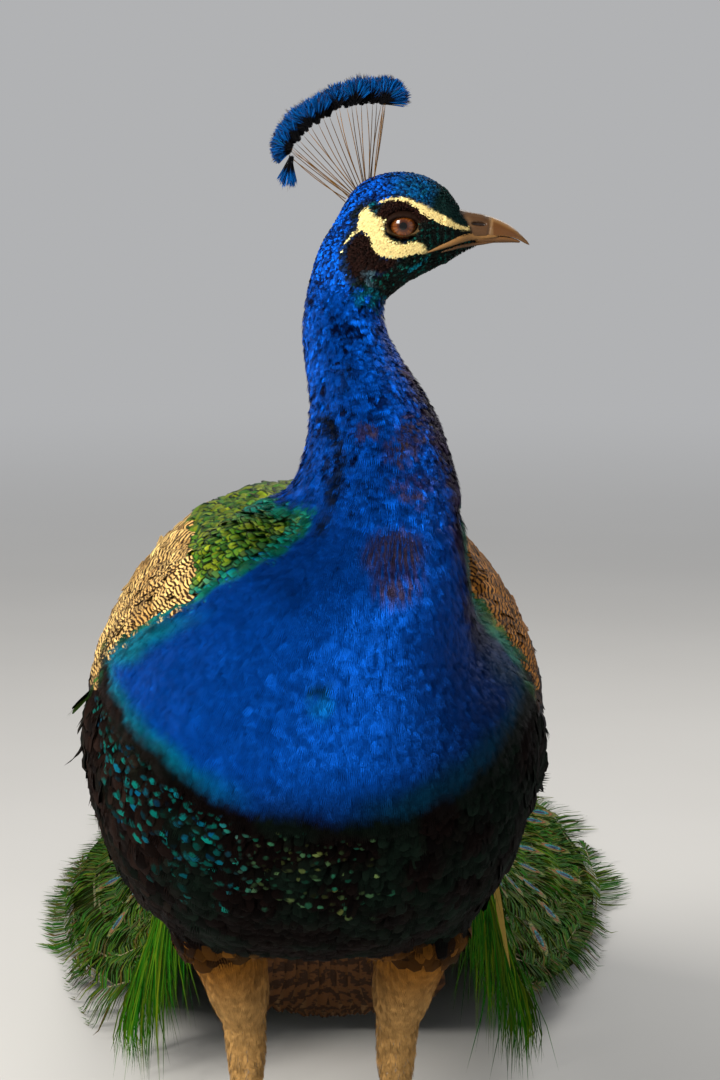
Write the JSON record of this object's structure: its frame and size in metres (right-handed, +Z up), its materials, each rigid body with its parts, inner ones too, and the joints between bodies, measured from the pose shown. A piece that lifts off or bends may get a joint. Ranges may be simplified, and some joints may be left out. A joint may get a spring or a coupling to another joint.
{
  "type": "indian peacock",
  "caption": "Standing peacock, a still life-size museum model: head turned to its left, fan crest up, folded wings, and a long train that trails on the floor behind it.",
  "frame": {"origin": "on the floor, under the middle of the whole bird's box, with the soles of both feet and the sides of the train on the plane z = 0", "axes": "+Z up; -Y is ahead of the bird, so its train runs back along +Y; +X is the bird's left, the side its head is turned to"},
  "size_m": [0.539, 1.8228, 0.7623],
  "materials": {
    "face_plumage": "small curled blue-green feathers, bare cream skin over and under the eye",
    "blue_plumage": "glossy cobalt blue feathers",
    "dark_plumage": "black-green feathers with teal and gold spots",
    "green_plumage": "metallic green and bronze feathers with loose barbs and eye spots",
    "crest_plumes": "bare brown shafts with blue-green tips",
    "barred_plumage": "matt cream feathers with wavy dark bars",
    "flight_feathers": "matt chestnut flight feathers",
    "tail_feathers": "stiff matt brown feathers",
    "buff_plumage": "soft matt buff feathers",
    "leg_scales": "grey-brown scaled skin",
    "horn": "satin brown horn",
    "eye": "wet amber-brown eye with a black pupil"
  },
  "bodies": {
    "root": {"head": "face_plumage", "neck_upper": "blue_plumage", "neck_lower": "blue_plumage", "breast": "blue_plumage", "trunk": "dark_plumage", "rump": "green_plumage", "crest": "crest_plumes", "eye_left": "eye", "eye_right": "eye", "bill_upper": "horn", "bill_lower": "horn", "wing_left": "barred_plumage", "wing_right": "barred_plumage", "wing_tip_left": "flight_feathers", "wing_tip_right": "flight_feathers", "tail": "tail_feathers", "train_root": "green_plumage", "train_upper_left": "green_plumage", "train_upper_middle": "green_plumage", "train_upper_right": "green_plumage", "train_lower_left": "green_plumage", "train_lower_middle": "green_plumage", "train_lower_right": "green_plumage", "train_end": "green_plumage", "thigh_left": "buff_plumage", "thigh_right": "buff_plumage", "shank_left": "leg_scales", "shank_right": "leg_scales", "foot_left": "leg_scales", "foot_right": "leg_scales", "spur_left": "horn", "spur_right": "horn", "claw_inner_left": "horn", "claw_middle_left": "horn", "claw_outer_left": "horn", "claw_back_left": "horn", "claw_inner_right": "horn", "claw_middle_right": "horn", "claw_outer_right": "horn", "claw_back_right": "horn"}
  },
  "joints": []
}
